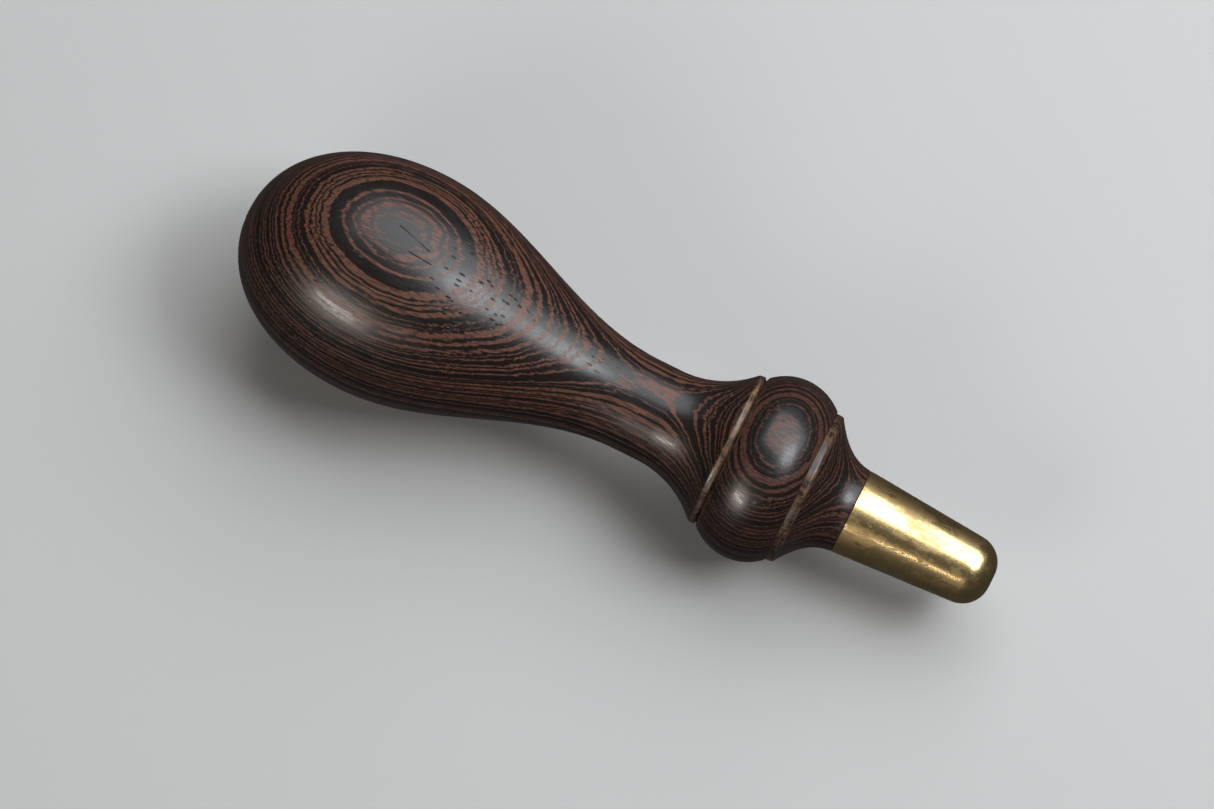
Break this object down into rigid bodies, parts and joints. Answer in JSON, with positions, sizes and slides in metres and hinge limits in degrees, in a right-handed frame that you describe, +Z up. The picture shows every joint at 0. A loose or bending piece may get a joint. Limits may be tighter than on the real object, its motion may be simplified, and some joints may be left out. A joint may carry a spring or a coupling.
{
  "type": "leatherworking haft with brass ferrule",
  "caption": "Turned wenge haft with a pear-shaped palm swell, slender neck and bead, capped by a tapered brass ferrule with a round nose.",
  "frame": {"origin": "middle of the bounding box in plan, at the height of the surface that the tool lies on", "axes": "+X towards the ferrule's nose, +Z up; the turning axis lies in the XZ plane and dips 3.1 degrees below +X, as the tool lies on its palm swell and bead"},
  "size_m": [0.1294, 0.0374, 0.0375],
  "materials": {
    "wenge": "satin",
    "adhesive": "gloss",
    "brass": "satin"
  },
  "bodies": {
    "root": {"handle": "wenge", "adhesive_film": "adhesive", "ferrule": "brass"}
  },
  "joints": []
}
